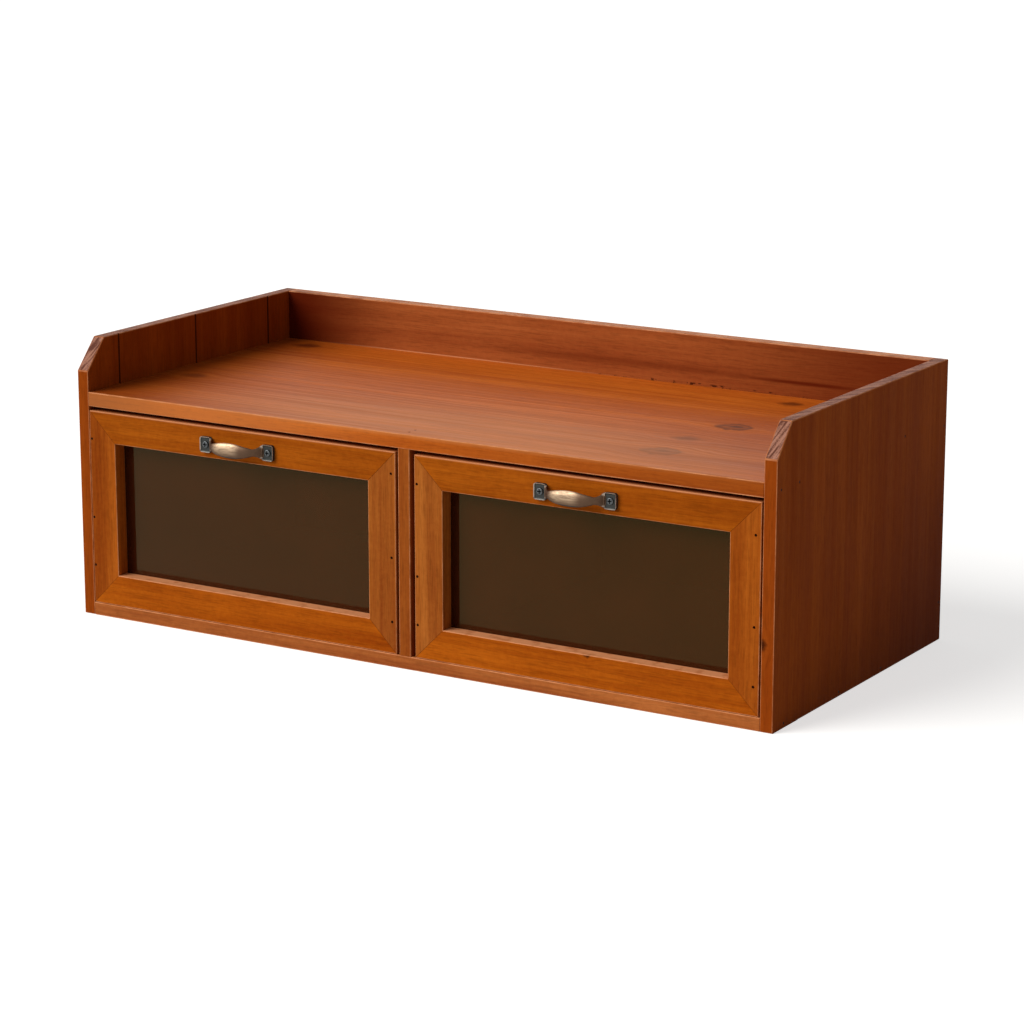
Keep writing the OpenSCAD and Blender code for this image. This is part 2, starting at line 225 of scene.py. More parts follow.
def add(tree, kind, feeds=(), stops=(), **settings):
    """Adds a node with its settings, and feeds its open sockets in order, or those named. The first two
    stops are the ones a ramp starts with, and the rest are new."""
    made = tree.nodes.new(kind)
    for key, value in settings.items():
        setattr(made, key, value)
    if not isinstance(feeds, dict):
        feeds = dict(enumerate(feeds))
    ready = [socket for socket in made.inputs if socket.enabled]
    for key, value in feeds.items():
        feed(tree, ready[key] if isinstance(key, int) else made.inputs[key], value)
    for index, (place, tone) in enumerate(stops):
        ramp = made.color_ramp.elements
        stop = ramp[index] if index < 2 else ramp.new(place)
        stop.position = place
        stop.color = (*tone, 1)
    return made


def new_material(name):
    """An empty material with its node tree and its surface shader."""
    material = bpy.data.materials.new(name)
    material.use_nodes = True
    tree = material.node_tree
    tree.nodes.clear()
    shader = add(tree, "ShaderNodeBsdfPrincipled")
    add(tree, "ShaderNodeOutputMaterial", [shader])
    return material, tree, shader


def paint(tree, shader, feeds):
    """Feeds the sockets of the surface shader."""
    for key, value in feeds.items():
        feed(tree, shader.inputs[key], value)


def nearness(tree, laid, centre, spread):
    """The way from a centre, and its length measured in spreads: 1 on the surface of an ellipsoid."""
    away = add(tree, "ShaderNodeVectorMath", [laid, centre], operation="SUBTRACT")
    share = tuple(1 / value for value in spread)
    sized = add(tree, "ShaderNodeVectorMath", [away, share], operation="MULTIPLY")
    return away, add(tree, "ShaderNodeVectorMath", [sized], operation="LENGTH").outputs["Value"]


def lacquered_pine(
    name,
    shades,
    grain,
    shift=(0, 0, 0),
    knots=(),
    blots=(),
    shaded_chips=(),
    roughness=0.35,
    specular=0.02,
    wear_and_sheen=0.0,
):
    """Softwood, planed, stained red brown and sprayed with satin lacquer: long soft streaks, short flecks
    of late wood, blotches where the stain took unevenly, and a low sheen that breaks over the grain.
    Shift moves the figure, so that boards differ, and the last setting is how far pale wood shows through
    the
    stain: rubbed off on arrises, and a painted sheen on faces that take the edge wood. A knot has a place,
    a reach, a depth of colour and a ring or none, a blot a place, a spread, a depth and a tint, and a
    stretch of chips, painted dark as their shade, a place and a spread. The places of knots and blots count
    along the grain first."""
    material, tree, shader = new_material(name)
    look = finish_colours()
    dark, mid, light = shades
    spot = add(tree, "ShaderNodeTexCoord").outputs["Object"]
    laid = add(tree, "ShaderNodeMapping", {"Vector": spot, "Rotation": GRAIN_TURN[grain]})
    path = laid
    marks = []
    for centre, reach, depth, ring in knots:
        away, far = nearness(tree, laid, centre, (1.3 * reach, reach, reach))
        ragged = add(tree, "ShaderNodeTexNoise", [away, 1.2 / reach, 2, 0.5])
        ragged = add(tree, "ShaderNodeMath", [ragged, 0.5], operation="SUBTRACT")
        far = add(tree, "ShaderNodeMath", [ragged, 0.9, far], operation="MULTIPLY_ADD")
        # The grain parts round the knot
        bell = add(tree, "ShaderNodeMapRange", [far, 0.4, 3, 0.7, 0], interpolation_type="SMOOTHSTEP")
        spread = add(tree, "ShaderNodeVectorMath", [away, (0, -1, -1)], operation="MULTIPLY")
        spread = add(tree, "ShaderNodeVectorMath", {"Vector": spread, "Scale": bell}, operation="SCALE")
        path = add(tree, "ShaderNodeVectorMath", [path, spread], operation="ADD")
        # Dark heart, paler flesh and an outer ring
        if ring:
            tops = [(0.2, depth), (0.4, depth * 0.4), (0.75, depth * 0.9), (1, 0)]
        else:
            tops = [(0.35, depth), (0.65, depth * 0.6), (1, 0)]
        heart = add(tree, "ShaderNodeValToRGB", [far], stops=[(place, (top,) * 3) for place, top in tops])
        marks.append((heart, look.knot))
    for centre, spread, depth, tint in blots:
        far = nearness(tree, laid, centre, spread)[1]
        band = add(tree, "ShaderNodeMapRange", [far, 0.2, 1, depth, 0], interpolation_type="SMOOTHSTEP")
        marks.append((band, getattr(look, tint)))
    # Chips, painted dark as their shade, are the peaks of a noise 7 mm long and 3 mm high, inside their
    # stretch
    for centre, spread in shaded_chips:
        far = nearness(tree, spot, centre, spread)[1]
        near = add(tree, "ShaderNodeMapRange", [far, 0.8, 1, 0.9, 0])
        flaw = add(tree, "ShaderNodeVectorMath", [spot, (150, 300, 300)], operation="MULTIPLY")
        flaw = add(tree, "ShaderNodeTexNoise", [flaw, 1, 3, 0.65])
        flaw = add(tree, "ShaderNodeMapRange", [flaw, 0.56, 0.63, 0, 1])
        marks.append((add(tree, "ShaderNodeMath", [flaw, near], operation="MULTIPLY"), look.knot))
    moved = add(tree, "ShaderNodeVectorMath", [path, shift], operation="ADD")
    # The grain wanders 3 mm either way over about 400 mm
    wander = add(tree, "ShaderNodeVectorMath", [moved, (2.5, 16, 16)], operation="MULTIPLY")
    wander = add(tree, "ShaderNodeTexNoise", [wander, 1, 1, 0.5]).outputs["Color"]
    wander = add(tree, "ShaderNodeVectorMath", [wander, (0.5, 0.5, 0.5)], operation="SUBTRACT")
    sway = (0, 12 * MM, 12 * MM)
    swayed = add(tree, "ShaderNodeVectorMath", [wander, sway, moved], operation="MULTIPLY_ADD")
    # Growth bands 16 mm wide, lines 3 mm wide and flecks 0.9 mm wide, coarse enough to show
    sizes = {"band": (2.2, 60, 60), "line": (5, 330, 330), "fleck": (70, 1100, 1100)}
    figure = {}
    for key, scale in sizes.items():
        scaled = add(tree, "ShaderNodeVectorMath", [swayed, scale], operation="MULTIPLY")
        figure[key] = add(tree, "ShaderNodeTexNoise", [scaled, 1, 2, 0.5])
    # Blotches 70 mm wide where the stain took unevenly, and a mottle of 4 mm
    blotch = add(tree, "ShaderNodeTexNoise", [moved, 14, 2, 0.5])
    mottle = add(tree, "ShaderNodeTexNoise", [moved, 260, 3, 0.6])
    tone = add(tree, "ShaderNodeMath", [figure["band"], 0.45, 0.0], operation="MULTIPLY_ADD")
    tone = add(tree, "ShaderNodeMath", [figure["line"], 0.25, tone], operation="MULTIPLY_ADD")
    tone = add(tree, "ShaderNodeMath", [mottle, 0.15, tone], operation="MULTIPLY_ADD")
    tone = add(tree, "ShaderNodeMath", [blotch, 0.15, tone], operation="MULTIPLY_ADD")
    stain = add(tree, "ShaderNodeValToRGB", [tone], stops=[(0.36, dark), (0.64, light), (0.5, mid)])
    # Short dark flecks of late wood
    fleck = add(tree, "ShaderNodeMapRange", [figure["fleck"], 0.36, 0.5, 0.82, 1])
    stain = add(tree, "ShaderNodeMix", [1, stain, fleck], data_type="RGBA", blend_type="MULTIPLY")
    for mask, tint in marks:
        stain = add(tree, "ShaderNodeMix", [mask, stain, tuple(tint)], data_type="RGBA")
    if wear_and_sheen:
        # The stain gives way to pale wood in patches of about 11 mm: rubbed through on arrises, and a
        # painted sheen on faces that take the edge wood
        patch = add(tree, "ShaderNodeTexNoise", [spot, 90, 3, 0.6])
        patch = add(tree, "ShaderNodeMapRange", [patch, 0.35, 0.65, wear_and_sheen * 0.35, wear_and_sheen])
        stain = add(tree, "ShaderNodeMix", [patch, stain, tuple(look.rubbed)], data_type="RGBA")
    rough, smooth = roughness + 0.09, roughness - 0.04
    satin = add(tree, "ShaderNodeMapRange", [figure["line"], 0.3, 0.7, rough, smooth])
    height = add(tree, "ShaderNodeMath", [figure["fleck"], 0.6, figure["line"]], operation="MULTIPLY_ADD")
    relief = add(tree, "ShaderNodeBump", {"Strength": 0.22, "Distance": 0.25 * MM, "Height": height})
    paint(
        tree,
        shader,
        {
            "Base Color": stain,
            "Roughness": satin,
            "Normal": relief,
            "Specular IOR Level": specular,
            "Specular Tint": tuple(look.lacquer),
        },
    )
    return material


def sawn_end_grain(name):
    """End grain of pine, sawn and stained: it drinks the stain, so rings of dull brown run across it."""
    material, tree, shader = new_material(name)
    look = finish_colours()
    spot = add(tree, "ShaderNodeTexCoord").outputs["Object"]
    turned = add(tree, "ShaderNodeMapping", {"Vector": spot, "Rotation": (0, 0, math.radians(28))})
    # Rings about 2 mm apart run slantwise through the board, crossed by pores of 0.8 mm
    drawn = add(tree, "ShaderNodeVectorMath", [turned, (560, 45, 45)], operation="MULTIPLY")
    ring = add(tree, "ShaderNodeTexNoise", [drawn, 1, 2, 0.6])
    pore = add(tree, "ShaderNodeTexNoise", [spot, 1200, 1, 0.5])
    mixed = add(tree, "ShaderNodeMath", [pore, 0.3, ring], operation="MULTIPLY_ADD")
    rings = [(0.56, tuple(look.end_dark)), (0.74, tuple(look.end_light))]
    tone = add(tree, "ShaderNodeValToRGB", [mixed], stops=rings)
    relief = add(tree, "ShaderNodeBump", {"Strength": 0.4, "Distance": 0.3 * MM, "Height": mixed})
    surface = {"Base Color": tone, "Roughness": 0.55, "Normal": relief, "Specular IOR Level": 0.05}
    paint(tree, shader, surface)
    return material


def float_glass(name):
    """Float glass, fire polished and tinted brown in the body: a flat, sharp gloss over a haze that hides
    most of the dark box behind it."""
    material, tree, shader = new_material(name)
    look = finish_colours()
    spot = add(tree, "ShaderNodeTexCoord").outputs["Object"]
    # A thin film of dust dims the pane in soft patches of about 45 mm
    dust = add(tree, "ShaderNodeTexNoise", [spot, 22, 3, 0.5])
    film = add(tree, "ShaderNodeMapRange", [dust, 0.3, 0.7, 1, 0.85])
    tint = add(tree, "ShaderNodeMix", [1, tuple(look.glass), film], data_type="RGBA", blend_type="MULTIPLY")
    paint(
        tree,
        shader,
        {
            "Base Color": tint,
            "Roughness": 0.0,
            "IOR": 1.5,
            "Transmission Weight": 0.75,
            "Specular IOR Level": 1.0,
            "Specular Tint": tuple(look.glass_gloss),
        },
    )
    return material


def antique_bronze(name, middle, out, inner_reach):
    """Cast zinc, plated and patinated as old bronze: dark in the sunk fields, and rubbed pale on the rims
    and the belly, with a painted highlight on the upper left of the belly and painted shade low down.
    Middle is the middle of the grip on the drawer front, out how far the grip stands out, and inner_reach
    how far from the middle the patina of the necks runs."""
    material, tree, shader = new_material(name)
    look = finish_colours()
    spot = add(tree, "ShaderNodeTexCoord").outputs["Object"]
    parts = add(tree, "ShaderNodeSeparateXYZ", [spot])
    # 0 on the drawer front, 1 at the front of the grip
    forward = add(tree, "ShaderNodeMapRange", [parts.outputs["Y"], middle.y, middle.y - out, 0, 1])
    # Grime in specks of 2.4 mm breaks up the edges of the patina
    grime = add(tree, "ShaderNodeTexNoise", [spot, 420, 4, 0.6])
    forward = add(tree, "ShaderNodeMath", [grime, 0.07, forward], operation="MULTIPLY_ADD")
    # The sunk field, then the rim of the plate, then the neck of the grip
    tone = add(
        tree,
        "ShaderNodeValToRGB",
        [forward],
        stops=[
            (0.205, tuple(look.bronze_patina_and_shade)),
            (0.35, tuple(look.bronze_neck)),
            (0.235, tuple(look.bronze_rim)),
            (0.285, tuple(look.bronze_rim)),
        ],
    )
    # The patina of the neck runs on over the rim beside it
    across = add(tree, "ShaderNodeMath", [parts.outputs["X"], middle.x], operation="SUBTRACT")
    across = add(tree, "ShaderNodeMath", [across], operation="ABSOLUTE")
    within = add(tree, "ShaderNodeMapRange", [across, inner_reach, inner_reach + 0.3 * MM, 1, 0])
    upward = add(tree, "ShaderNodeMath", [parts.outputs["Z"], middle.z], operation="SUBTRACT")
    upward = add(tree, "ShaderNodeMath", [upward], operation="ABSOLUTE")
    inside = add(tree, "ShaderNodeMapRange", [upward, 3 * MM, 4.4 * MM, 1, 0])
    valley = add(tree, "ShaderNodeMath", [within, inside], operation="MULTIPLY")
    tone = add(tree, "ShaderNodeMix", [valley, tone, tuple(look.bronze_neck)], data_type="RGBA")
    # The belly is rubbed pale, and a painted highlight lies a little to the left of the middle and towards
    # the top, with the underside left dark
    aside = add(tree, "ShaderNodeMath", [parts.outputs["X"], middle.x - 4 * MM], operation="SUBTRACT")
    aside = add(tree, "ShaderNodeMath", [aside], operation="ABSOLUTE")
    belly = add(tree, "ShaderNodeMapRange", [aside, 5 * MM, 15 * MM, 1, 0], interpolation_type="SMOOTHSTEP")
    low, high = middle.z - 3.5 * MM, middle.z + 1 * MM
    highlight_above = add(tree, "ShaderNodeMapRange", [parts.outputs["Z"], low, high, 0.15, 1])
    proud = add(tree, "ShaderNodeMapRange", [forward, 0.55, 0.85, 0, 1])
    rub_and_highlight = add(tree, "ShaderNodeMath", [belly, highlight_above], operation="MULTIPLY")
    rub_and_highlight = add(tree, "ShaderNodeMath", [rub_and_highlight, proud], operation="MULTIPLY")
    # Lines of dirt 0.8 mm wide run along the grip
    lines = add(tree, "ShaderNodeVectorMath", [spot, (120, 1300, 1300)], operation="MULTIPLY")
    lines = add(tree, "ShaderNodeTexNoise", [lines, 1, 3, 0.6])
    clean = add(tree, "ShaderNodeMapRange", [lines, 0.35, 0.55, 0.35, 1])
    rub_and_highlight = add(tree, "ShaderNodeMath", [rub_and_highlight, clean], operation="MULTIPLY")
    tone = add(tree, "ShaderNodeMix", [rub_and_highlight, tone, tuple(look.bronze_rub_and_highlight)], data_type="RGBA")
    # Painted shade low down, under the belly and along the foot of the plates, in the tone of the patina
    low, high = middle.z - 4.6 * MM, middle.z - 4.2 * MM
    shade_below = add(tree, "ShaderNodeMapRange", [parts.outputs["Z"], low, high, 0.8, 0])
    tone = add(tree, "ShaderNodeMix", [shade_below, tone, tuple(look.bronze_patina_and_shade)], data_type="RGBA")
    dull = add(tree, "ShaderNodeMapRange", [grime, 0.3, 0.7, 0.42, 0.6])
    relief = add(tree, "ShaderNodeBump", {"Strength": 0.2, "Distance": 0.15 * MM, "Height": grime})
    paint(tree, shader, {"Base Color": tone, "Metallic": 1.0, "Roughness": dull, "Normal": relief})
    return material


def wire_steel(name, tone, rough, slot_y=None):
    """Drawn steel wire, headed: dull, a little uneven, with a cold glint on the edges. A slot that lies
    behind slot_y is darkened."""
    material, tree, shader = new_material(name)
    spot = add(tree, "ShaderNodeTexCoord").outputs["Object"]
    # Mill scale in specks of 1.1 mm
    scale = add(tree, "ShaderNodeTexNoise", [spot, 900, 3, 0.6])
    shade = add(tree, "ShaderNodeMapRange", [scale, 0.3, 0.7, 0.6, 1.15])
    if slot_y is not None:
        depth = add(tree, "ShaderNodeSeparateXYZ", [spot]).outputs["Y"]
        slot_dark = add(tree, "ShaderNodeMapRange", [depth, slot_y - 0.2 * MM, slot_y, 1, 0.03])
        shade = add(tree, "ShaderNodeMath", [shade, slot_dark], operation="MULTIPLY")
    tint = add(tree, "ShaderNodeMix", [1, tuple(tone), shade], data_type="RGBA", blend_type="MULTIPLY")
    dull = add(tree, "ShaderNodeMapRange", [scale, 0.3, 0.7, rough - 0.08, rough + 0.12])
    paint(tree, shader, {"Base Color": tint, "Metallic": 1.0, "Roughness": dull})
    return material


def take_up(piece):
    """Makes the piece the only selected object and the active one."""
    bpy.ops.object.select_all(action="DESELECT")
    piece.select_set(True)
    bpy.context.view_layer.objects.active = piece


def settle(piece):
    """Puts the piece's place into its mesh and leaves its object at the origin."""
    take_up(piece)
    bpy.ops.object.transform_apply(location=True, rotation=True, scale=True)


def pick(piece, kind, wanted):
    """In edit mode, selects the edges or the faces that are wanted and tells how many there are."""
    bpy.ops.mesh.select_mode(type=kind)
    bpy.ops.mesh.select_all(action="DESELECT")
    shape = bmesh.from_edit_mesh(piece.data)
    parts = shape.edges if kind == "EDGE" else shape.faces
    found = [part for part in parts if wanted(part)]
    for part in found:
        part.select_set(True)
    bmesh.update_edit_mesh(piece.data)
    return len(found)


def copy_node(node, name, materials):
    """Copies a CAD node's mesh into a new piece with its own materials, makes one face of the triangles
    that lie flat together, and leaves the piece in edit mode."""
    piece = bpy.data.objects.new(name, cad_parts[node].data.copy())
    bpy.context.scene.collection.objects.link(piece)
    take_up(piece)
    piece.data.materials.clear()
    for material in materials:
        piece.data.materials.append(material)
    bpy.ops.mesh.customdata_custom_splitnormals_clear()
    bpy.ops.object.mode_set(mode="EDIT")
    bpy.ops.mesh.select_all(action="SELECT")
    bpy.ops.mesh.remove_doubles(threshold=MERGE_GAP)
    bpy.ops.mesh.dissolve_limited(angle_limit=FLAT_TURN)
    return piece


def is_diagonal(normal):
    """True for the normal of a face cut at 45 degrees, as a mitre or the chamfer of a joint is."""
    return sum(abs(abs(part) - math.sqrt(0.5)) < 0.02 for part in normal) == 2


def is_arris(edge):
    """True for an outer corner of a board, and not for the rim of a nail hole or the cut of a mitre."""
    if len(edge.link_faces) != 2 or edge.calc_length() < ARRIS_SHORTEST:
        return False
    if not edge.is_convex or edge.calc_face_angle() < ARRIS_TURN:
        return False
    return not any(is_diagonal(face.normal) for face in edge.link_faces)


def is_glue_line(edge):
    """True for the rim of a mitre on the face of a frame member."""
    return len(edge.link_faces) == 2 and sum(is_diagonal(face.normal) for face in edge.link_faces) == 1


def lie_in(points, planes):
    """True where all the points lie in one of the planes, each an axis and a place on it."""
    return any(all(abs(point[axis] - place) < PLANE_SLACK for point in points) for axis, place in planes)


def lies_in(edge, planes):
    """True where both ends of the edge lie in one of the planes."""
    return lie_in([point.co for point in edge.verts], planes)


def is_open_arris(edge, flush):
    """True for an arris outside the flush planes."""
    return is_arris(edge) and not lies_in(edge, flush)


def soften(
    node, woods, body, arris, seam=0.0, seams=(), flush=(), sheen_planes=(), mitre=0.0, end_axis=None
):
    """Makes a board with rubbed arrises from a CAD board: the faces, the arrises, the end grain and the
    joints take their own woods. Edges in a seam plane get a finer groove and those in a flush plane stay
    sharp, faces in a sheen plane take the pale wood of the arrises as a painted sheen, and faces across the
    end axis show end grain."""
    piece = copy_node(node, node + "_wood", woods)
    if pick(piece, "EDGE", lambda e: is_open_arris(e, flush) and not lies_in(e, seams)):
        bpy.ops.mesh.bevel(offset=arris, segments=3, affect="EDGES", material=RUBBED_AND_SHEEN)
    if seam and pick(piece, "EDGE", lambda e: is_open_arris(e, flush) and lies_in(e, seams)):
        bpy.ops.mesh.bevel(offset=seam, segments=1, affect="EDGES")
    front = [(1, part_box(node)[0].y)]
    if mitre and pick(piece, "EDGE", lambda e: is_glue_line(e) and lies_in(e, front)):
        bpy.ops.mesh.bevel(offset=mitre, segments=1, affect="EDGES", material=JOINT)
    bpy.ops.object.mode_set(mode="OBJECT")
    for face in piece.data.polygons:
        if face.area < SMALLEST_FACE or face.material_index != FACE:
            continue
        # Painted sheen: faces in the sheen planes take the pale edge wood
        if lie_in([piece.data.vertices[i].co for i in face.vertices], sheen_planes):
            face.material_index = RUBBED_AND_SHEEN
        elif is_diagonal(face.normal):
            face.material_index = JOINT
        elif end_axis is not None and abs(face.normal[end_axis]) > 0.3:
            # A sloping cut shows end grain as well
            face.material_index = END
    bpy.ops.object.shade_flat()
    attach(piece, body)
    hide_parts(node)


def wood_set(label, shades, grain, rubbed=0.9, joint_tone=0.3, **options):
    """The four woods of a board, in the order of its slots: its faces, its rubbed arrises, which also carry
    painted sheen, its end grain and its glued joints, whose shades are those of the faces times joint_tone."""
    face = lacquered_pine(label + " satin pine", shades, grain, **options)
    edge = lacquered_pine(label + " rubbed pine", shades, grain, wear_and_sheen=rubbed, **options)
    sawn = "Sawn pine end grain"
    end = bpy.data.materials.get(sawn) or sawn_end_grain(sawn)
    thick = [tuple(joint_tone * part for part in tone) for tone in shades]
    shift = options.get("shift", (0, 0, 0))
    joint = lacquered_pine(label + " joint with pooled stain", thick, grain, shift=shift)
    return [face, edge, end, joint]


class CABINET_OT_side_panels(bpy.types.Operator):
    """Side panels, each glued up from four upright boards"""

    bl_idname = "cabinet.side_panels"
    bl_label = "Side Panels"

    def execute(self, context):
        look = context.scene.cabinet_finish
        arris = context.scene.cabinet_edges.board_arris
        # In the grain's space, height comes first. A small knot lies low on the front edge of the right
        # side, and painted shade darkens its lower rear corner.
        knots = [((62 * MM, -139 * MM, -291 * MM), 4.5 * MM, 0.9, 0)]
        blots = [((-20 * MM, 150 * MM, -300 * MM), (210 * MM, 190 * MM, 60 * MM), 0.5, "pooled")]
        marks = {"left": {"shift": (0.4, 0, 0)}, "right": {"knots": knots, "blots": blots}}
        for side in SIDES:
            shades = tones(look.side, 0.2)
            label = side.title() + " side"
            woods = wood_set(label, shades, "upright", rubbed=0.6, specular=0.005, **marks[side])
            for number in range(1, 5):
                node = f"{side}_side_board_{number}"
                low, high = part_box(node)
                flush = [(1, low.y)] if number > 1 else []
                flush += [(1, high.y)] if number < 4 else []
                soften(node, woods, "carcass", arris, flush=flush, end_axis=2)
        return {"FINISHED"}


def deck_woods(look, front, top):
    """The woods of the deck, whose front edge and upper face lie at front and top."""
    # Knots: place from the deck's middle and from its front edge, reach, depth of colour and ring
    places = [
        (-260, 95, 10, 0.55, 0),
        (-256, 244, 11, 0.75, 0),
        (192, 146, 12, 0.8, 1),
        (190, 241, 9, 0.7, 0),
        (185, 48, 13, 0.6, 1),
        (180, 94, 10, 0.45, 0),
    ]
    knots = [
        ((across * MM, front + deep * MM, top), reach * MM, depth, ring)
        for across, deep, reach, depth, ring in places
    ]
    # A darker flame runs along the grain from each knot
    blots = [
        (centre, (2 * reach, 0.45 * reach, reach), 0.28 * depth, "knot")
        for centre, reach, depth, ring in knots
    ]
    # Painted shade darkens the ends of the deck, the left one as the side panel's shadow, and the right of
    # its front edge; painted sheen lightens the front of the upper face and the left end of the front edge
    blots += [
        ((-310 * MM, 0, top), (130 * MM, 0.6, 0.6), 0.55, "pooled"),
        ((340 * MM, 0, top), (260 * MM, 0.6, 0.6), 0.25, "pooled"),
        ((50 * MM, front + 25 * MM, top), (350 * MM, 120 * MM, 4 * MM), 0.35, "thin"),
        ((290 * MM, front, top - 6 * MM), (430 * MM, 2.5 * MM, 20 * MM), 0.4, "pooled"),
        ((-230 * MM, front, top - 6 * MM), (250 * MM, 2.5 * MM, 20 * MM), 0.3, "thin"),
    ]
    return wood_set("Deck", tones(look.deck, 0.26), "across", knots=knots, blots=blots, specular=0.06)


def back_woods(look, face, top):
    """The woods of the back board, whose front lies at face and meets the deck at top."""
    # A soft red streak above the deck, a painted highlight along the corner with the deck, and painted
    # shade at both ends
    blots = [
        ((30 * MM, face, top + 12 * MM), (170 * MM, 5 * MM, 5 * MM), 0.4, "pooled"),
        ((190 * MM, face, top + 11 * MM), (75 * MM, 5 * MM, 2.2 * MM), 0.8, "pooled"),
        ((-130 * MM, face, top), (190 * MM, 3 * MM, 1.1 * MM), 0.9, "rubbed"),
        ((-310 * MM, face, top), (150 * MM, 8 * MM, 0.6), 0.95, "pooled"),
        ((330 * MM, face, top), (270 * MM, 8 * MM, 0.6), 0.75, "pooled"),
    ]
    # Dark specks of painted shade mark chips and the gap along the foot on the right
    shaded_chips = [((100 * MM, face, top), (110 * MM, 3 * MM, 2.2 * MM))]
    marks = {"shift": (0.7, 0.3, 0.1), "blots": blots, "shaded_chips": shaded_chips}
    return wood_set("Back", tones(look.back, 0.25), "across", **marks)


class CABINET_OT_carcass_boards(bpy.types.Operator):
    """Deck, bottom board, divider and back board"""

    bl_idname = "cabinet.carcass_boards"
    bl_label = "Deck and Boards"

    def execute(self, context):
        look = context.scene.cabinet_finish
        edges = context.scene.cabinet_edges
        arris, seam = edges.board_arris, edges.seam
        low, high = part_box("deck")
        ends = [(0, low.x), (0, high.x)]
        woods = deck_woods(look, low.y, high.z)
        soften("deck", woods, "carcass", arris, seam, ends)
        woods = wood_set("Bottom board", tones(look.bottom, 0.35), "across", shift=(0.1, 0.2, 0.4))
        shut = ends + [(1, high.y)]
        soften("bottom_board", woods, "carcass", arris, seam, shut)
        woods = wood_set("Divider", tones(look.divider, 0.35), "upright", shift=(0.3, 0.1, 0.2))
        foot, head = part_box("divider")
        shut = [(2, foot.z), (2, head.z), (1, head.y)]
        soften("divider", woods, "carcass", arris, seam, shut)
        woods = back_woods(look, high.y, high.z)
        # Painted sheen on the upper face of the back board
        sheen_planes = [(2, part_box("back_board")[1].z)]
        soften("back_board", woods, "carcass", arris, seam, ends, sheen_planes=sheen_planes)
        return {"FINISHED"}


class CABINET_OT_drawer_fronts(bpy.types.Operator):
    """Mitred frames of the drawer fronts"""

    bl_idname = "cabinet.drawer_fronts"
    bl_label = "Drawer Fronts"

    def execute(self, context):
        look = context.scene.cabinet_finish
        edges = context.scene.cabinet_edges
        members = {
            "top_rail": ("across", (0.2, 0, 0.3)),
            "bottom_rail": ("across", (0.9, 0, 0.5)),
            "outer_stile": ("upright", (0.5, 0, 0.7)),
            "inner_stile": ("upright", (1.3, 0, 0.9)),
        }
        for step, side in enumerate(SIDES):
            for member, (grain, shift) in members.items():
                node = f"{side}_{member}"
                low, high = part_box(node)
                moved = (shift[0] + 0.37 * step, shift[1] + 0.11 * step, shift[2])
                # A nick in the upper edge of the right bottom rail
                nick = node == "right_bottom_rail"
                knots = [((152.5 * MM, low.y, high.z), 3 * MM, 1, 0)] if nick else []
                label = node.replace("_", " ").capitalize()
                # The upper edges of the bottom rails, which carry the panes, are the palest: rubbed on
                # their arrises, and a painted highlight on the sills
                rubbed = 1.5 if member == "bottom_rail" else 0.9
                shades = tones(getattr(look, member), 0.35)
                # Painted light on the front of the upper faces of the top rails, where the deck above
                # shades them
                blots = []
                if member == "top_rail":
                    middle = (low.x + high.x) / 2
                    blots = [((middle, low.y, high.z), (high.x - low.x, 8 * MM, 1.5 * MM), 0.75, "rubbed")]
                marks = {"shift": moved, "knots": knots, "blots": blots}
                woods = wood_set(label, shades, grain, rubbed, joint_tone=0.65, **marks)
                soften(
                    node,
                    woods,
                    side + "_drawer",
                    edges.front_arris,
                    mitre=edges.mitre,
                    sheen_planes=[(2, high.z)] if member == "bottom_rail" else [],
                )
        return {"FINISHED"}


class CABINET_OT_drawer_boxes(bpy.types.Operator):
    """Sides, back and bottom of the drawer boxes"""

    bl_idname = "cabinet.drawer_boxes"
    bl_label = "Drawer Boxes"

    def execute(self, context):
        shades = tones(context.scene.cabinet_finish.box, 0.35)
        edges = context.scene.cabinet_edges
        deep = wood_set("Box side", shades, "deep", shift=(0.2, 0.5, 0.1), roughness=0.5)
        wide = wood_set("Box back", shades, "across", shift=(0.6, 0.2, 0.8), roughness=0.5)
        for side in SIDES:
            body = side + "_drawer"
            for node in (f"{side}_outer_box_side", f"{side}_inner_box_side"):
                soften(node, deep, body, edges.box_arris)
            soften(f"{side}_box_back", wide, body, edges.box_arris)
            soften(f"{side}_box_bottom", wide, body, edges.seam)
        return {"FINISHED"}


class CABINET_OT_panes(bpy.types.Operator):
    """Glass panes of the drawer fronts"""

    bl_idname = "cabinet.panes"
    bl_label = "Panes"

    def execute(self, context):
        glass = float_glass("Polished float glass")
        for side in SIDES:
            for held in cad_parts[f"{side}_glass"].material_slots:
                held.material = glass
        return {"FINISHED"}


def grip_section(across, out, plate_high, half_span, sizes):
    """Depth of the grip's face, its thickness and its half height, at a distance from its middle. It is a
    leaf between its necks, and flares out to the height of a plate past each of them."""
    share = min(abs(across) / half_span, 1)
    face = sizes.plate_thick + (out - sizes.plate_thick) * (1 - share**4.5)
    thick = sizes.plate_thick + (sizes.grip_thick - sizes.plate_thick) * (1 - share**2)
    leaf = half_span - sizes.flare
    if abs(across) < leaf:
        swell = math.cos(math.pi / 2 * across / leaf) ** 0.85
        height = sizes.neck + (sizes.belly - sizes.neck) * swell
    else:
        share = min((abs(across) - half_span + sizes.flare) / sizes.flare, 1)
        height = sizes.neck + (plate_high - FLARE_STEP - sizes.neck) * share**2
    return face, thick, height / 2


